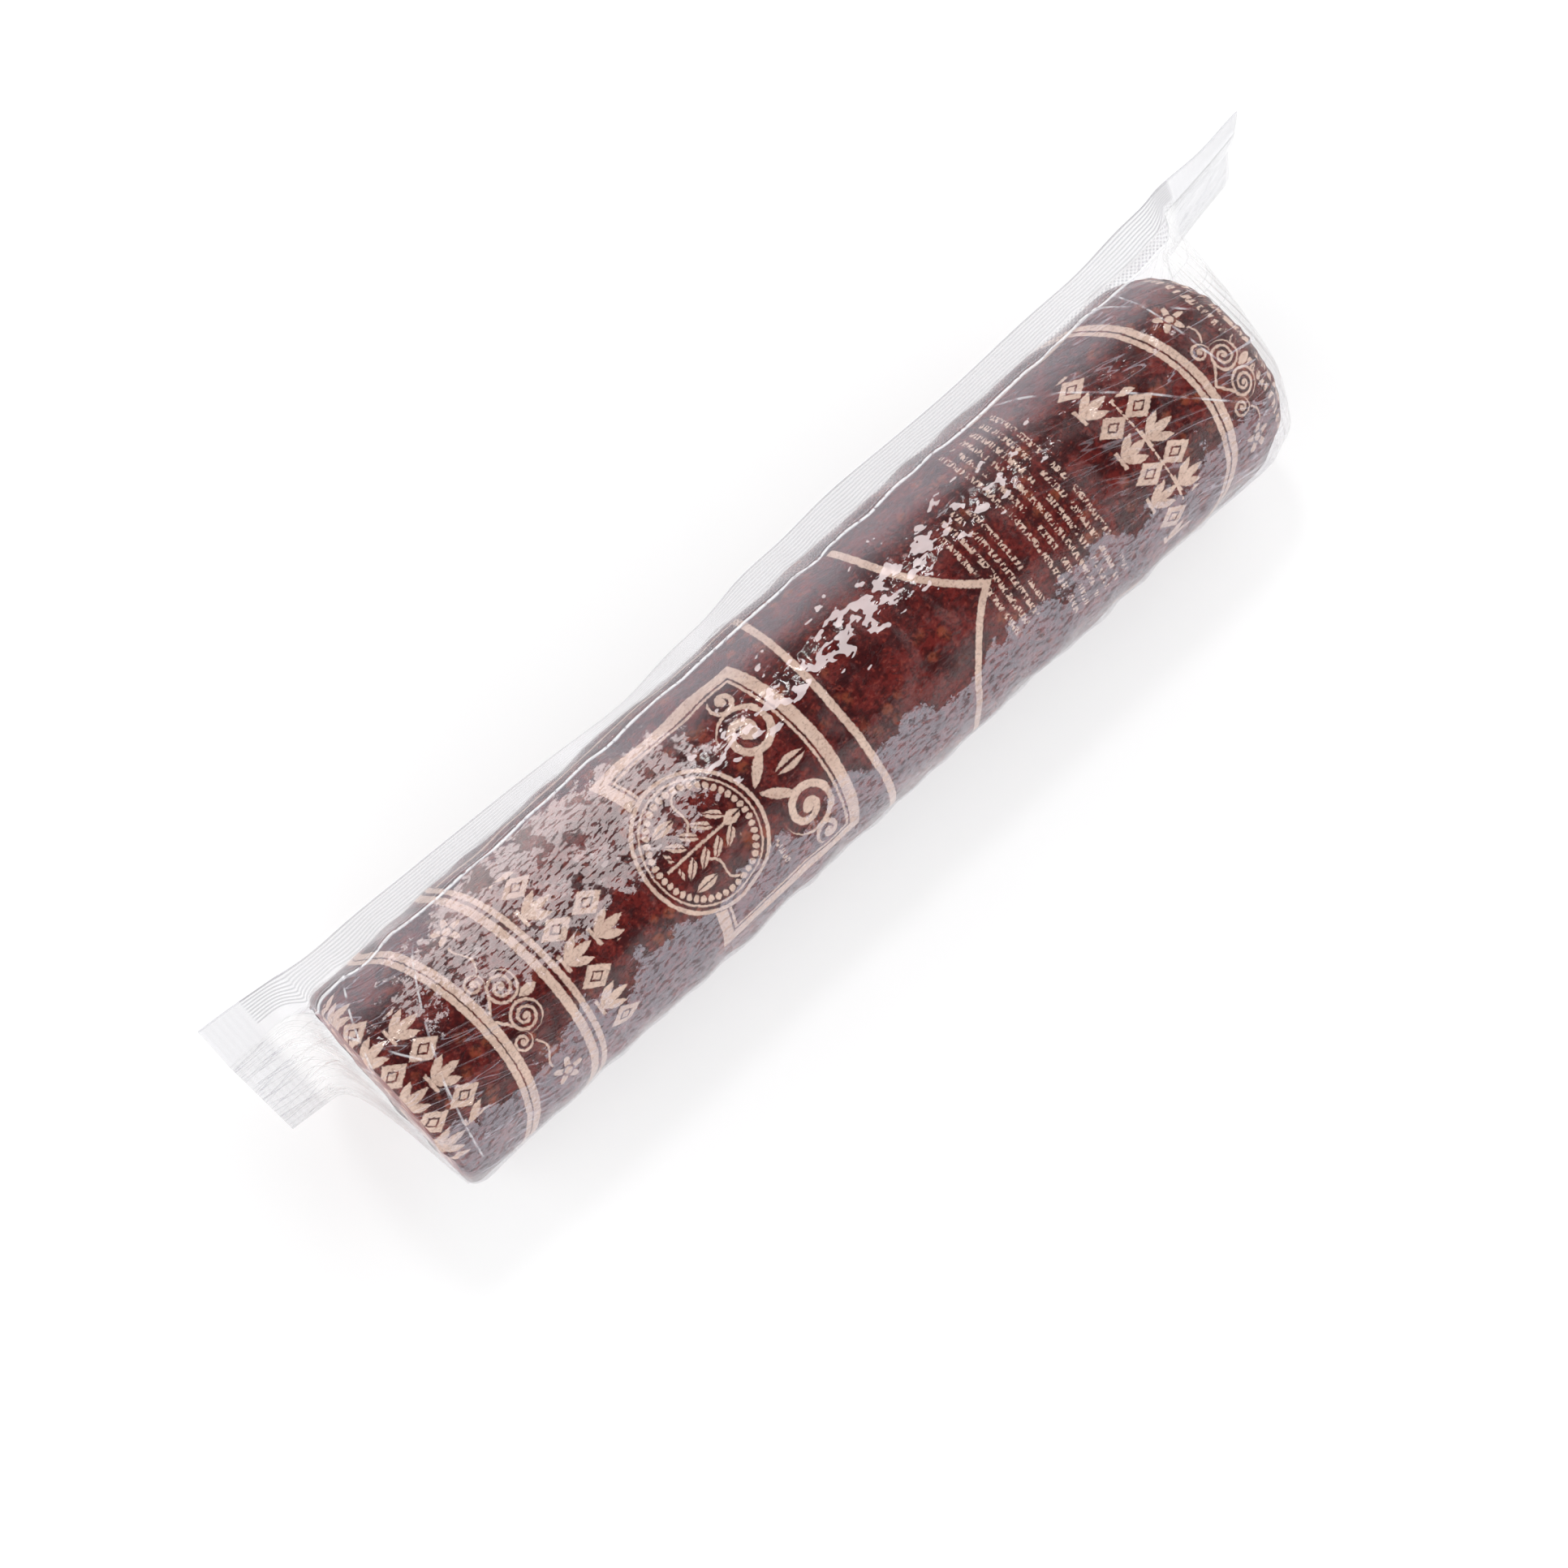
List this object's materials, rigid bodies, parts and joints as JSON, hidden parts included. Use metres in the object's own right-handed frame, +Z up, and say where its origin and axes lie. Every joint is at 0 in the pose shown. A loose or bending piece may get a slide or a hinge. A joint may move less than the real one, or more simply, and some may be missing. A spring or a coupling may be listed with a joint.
{
  "type": "cured sausage",
  "caption": "Dry-cured sausage log with a printed casing, one end rounded and one cut square, packed in clear film with a ribbed fin seal and flat tails.",
  "frame": {"origin": "middle of the flat underside that the package lies on", "axes": "+X along the sausage towards its round end, +Z up, +Y towards the film's fin seal"},
  "size_m": [0.355, 0.0749, 0.0631],
  "materials": {
    "meat": "moist cut meat with pale fat",
    "casing": "fibrous casing, satin, printed in tan",
    "clip": "satin",
    "film": "clear glossy film"
  },
  "bodies": {
    "root": {"meat": "meat", "casing": "casing", "clip": "clip", "film_wrap": "film"}
  },
  "joints": []
}
